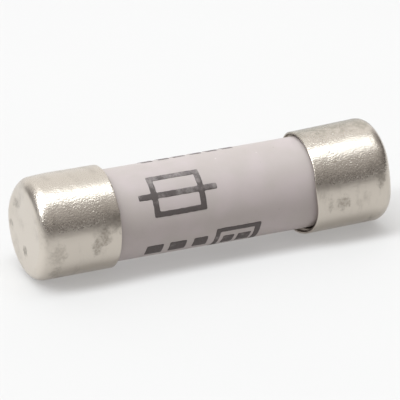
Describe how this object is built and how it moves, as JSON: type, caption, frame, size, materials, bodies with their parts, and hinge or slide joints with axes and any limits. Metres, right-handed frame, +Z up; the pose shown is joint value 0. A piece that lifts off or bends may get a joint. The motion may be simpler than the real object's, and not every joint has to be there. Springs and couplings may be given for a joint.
{
  "type": "cartridge fuse",
  "caption": "Cylindrical ceramic cartridge fuse with plated end caps pressed over inner caps, a sand-filled tube and a notched strip element.",
  "frame": {"origin": "centre of the fuse, on its axis midway between the two end faces", "axes": "+X along the fuse's axis towards the right-hand cap, which has the filled inner cap; +Z up; the printed symbol faces -Y and up"},
  "size_m": [0.038, 0.0104, 0.0104],
  "materials": {
    "ceramic": "satin",
    "nickel_plate": "gloss",
    "tinned_brass": "satin",
    "fibre": "matte",
    "tin_solder": "satin",
    "copper_strip": "satin",
    "quartz_sand": "matte",
    "ink": "matte"
  },
  "bodies": {
    "root": {"ceramic_tube": "ceramic", "left_outer_cap": "nickel_plate", "right_outer_cap": "nickel_plate", "left_inner_cap": "tinned_brass", "right_inner_cap": "tinned_brass", "left_fibre_washer": "fibre", "right_fibre_washer": "fibre", "left_solder_joint": "tin_solder", "right_solder_joint": "tin_solder", "fuse_element": "copper_strip", "overload_bead": "tin_solder", "quartz_filler": "quartz_sand", "filling_plug": "fibre", "printed_symbol": "ink", "printed_bars": "ink"}
  },
  "joints": []
}
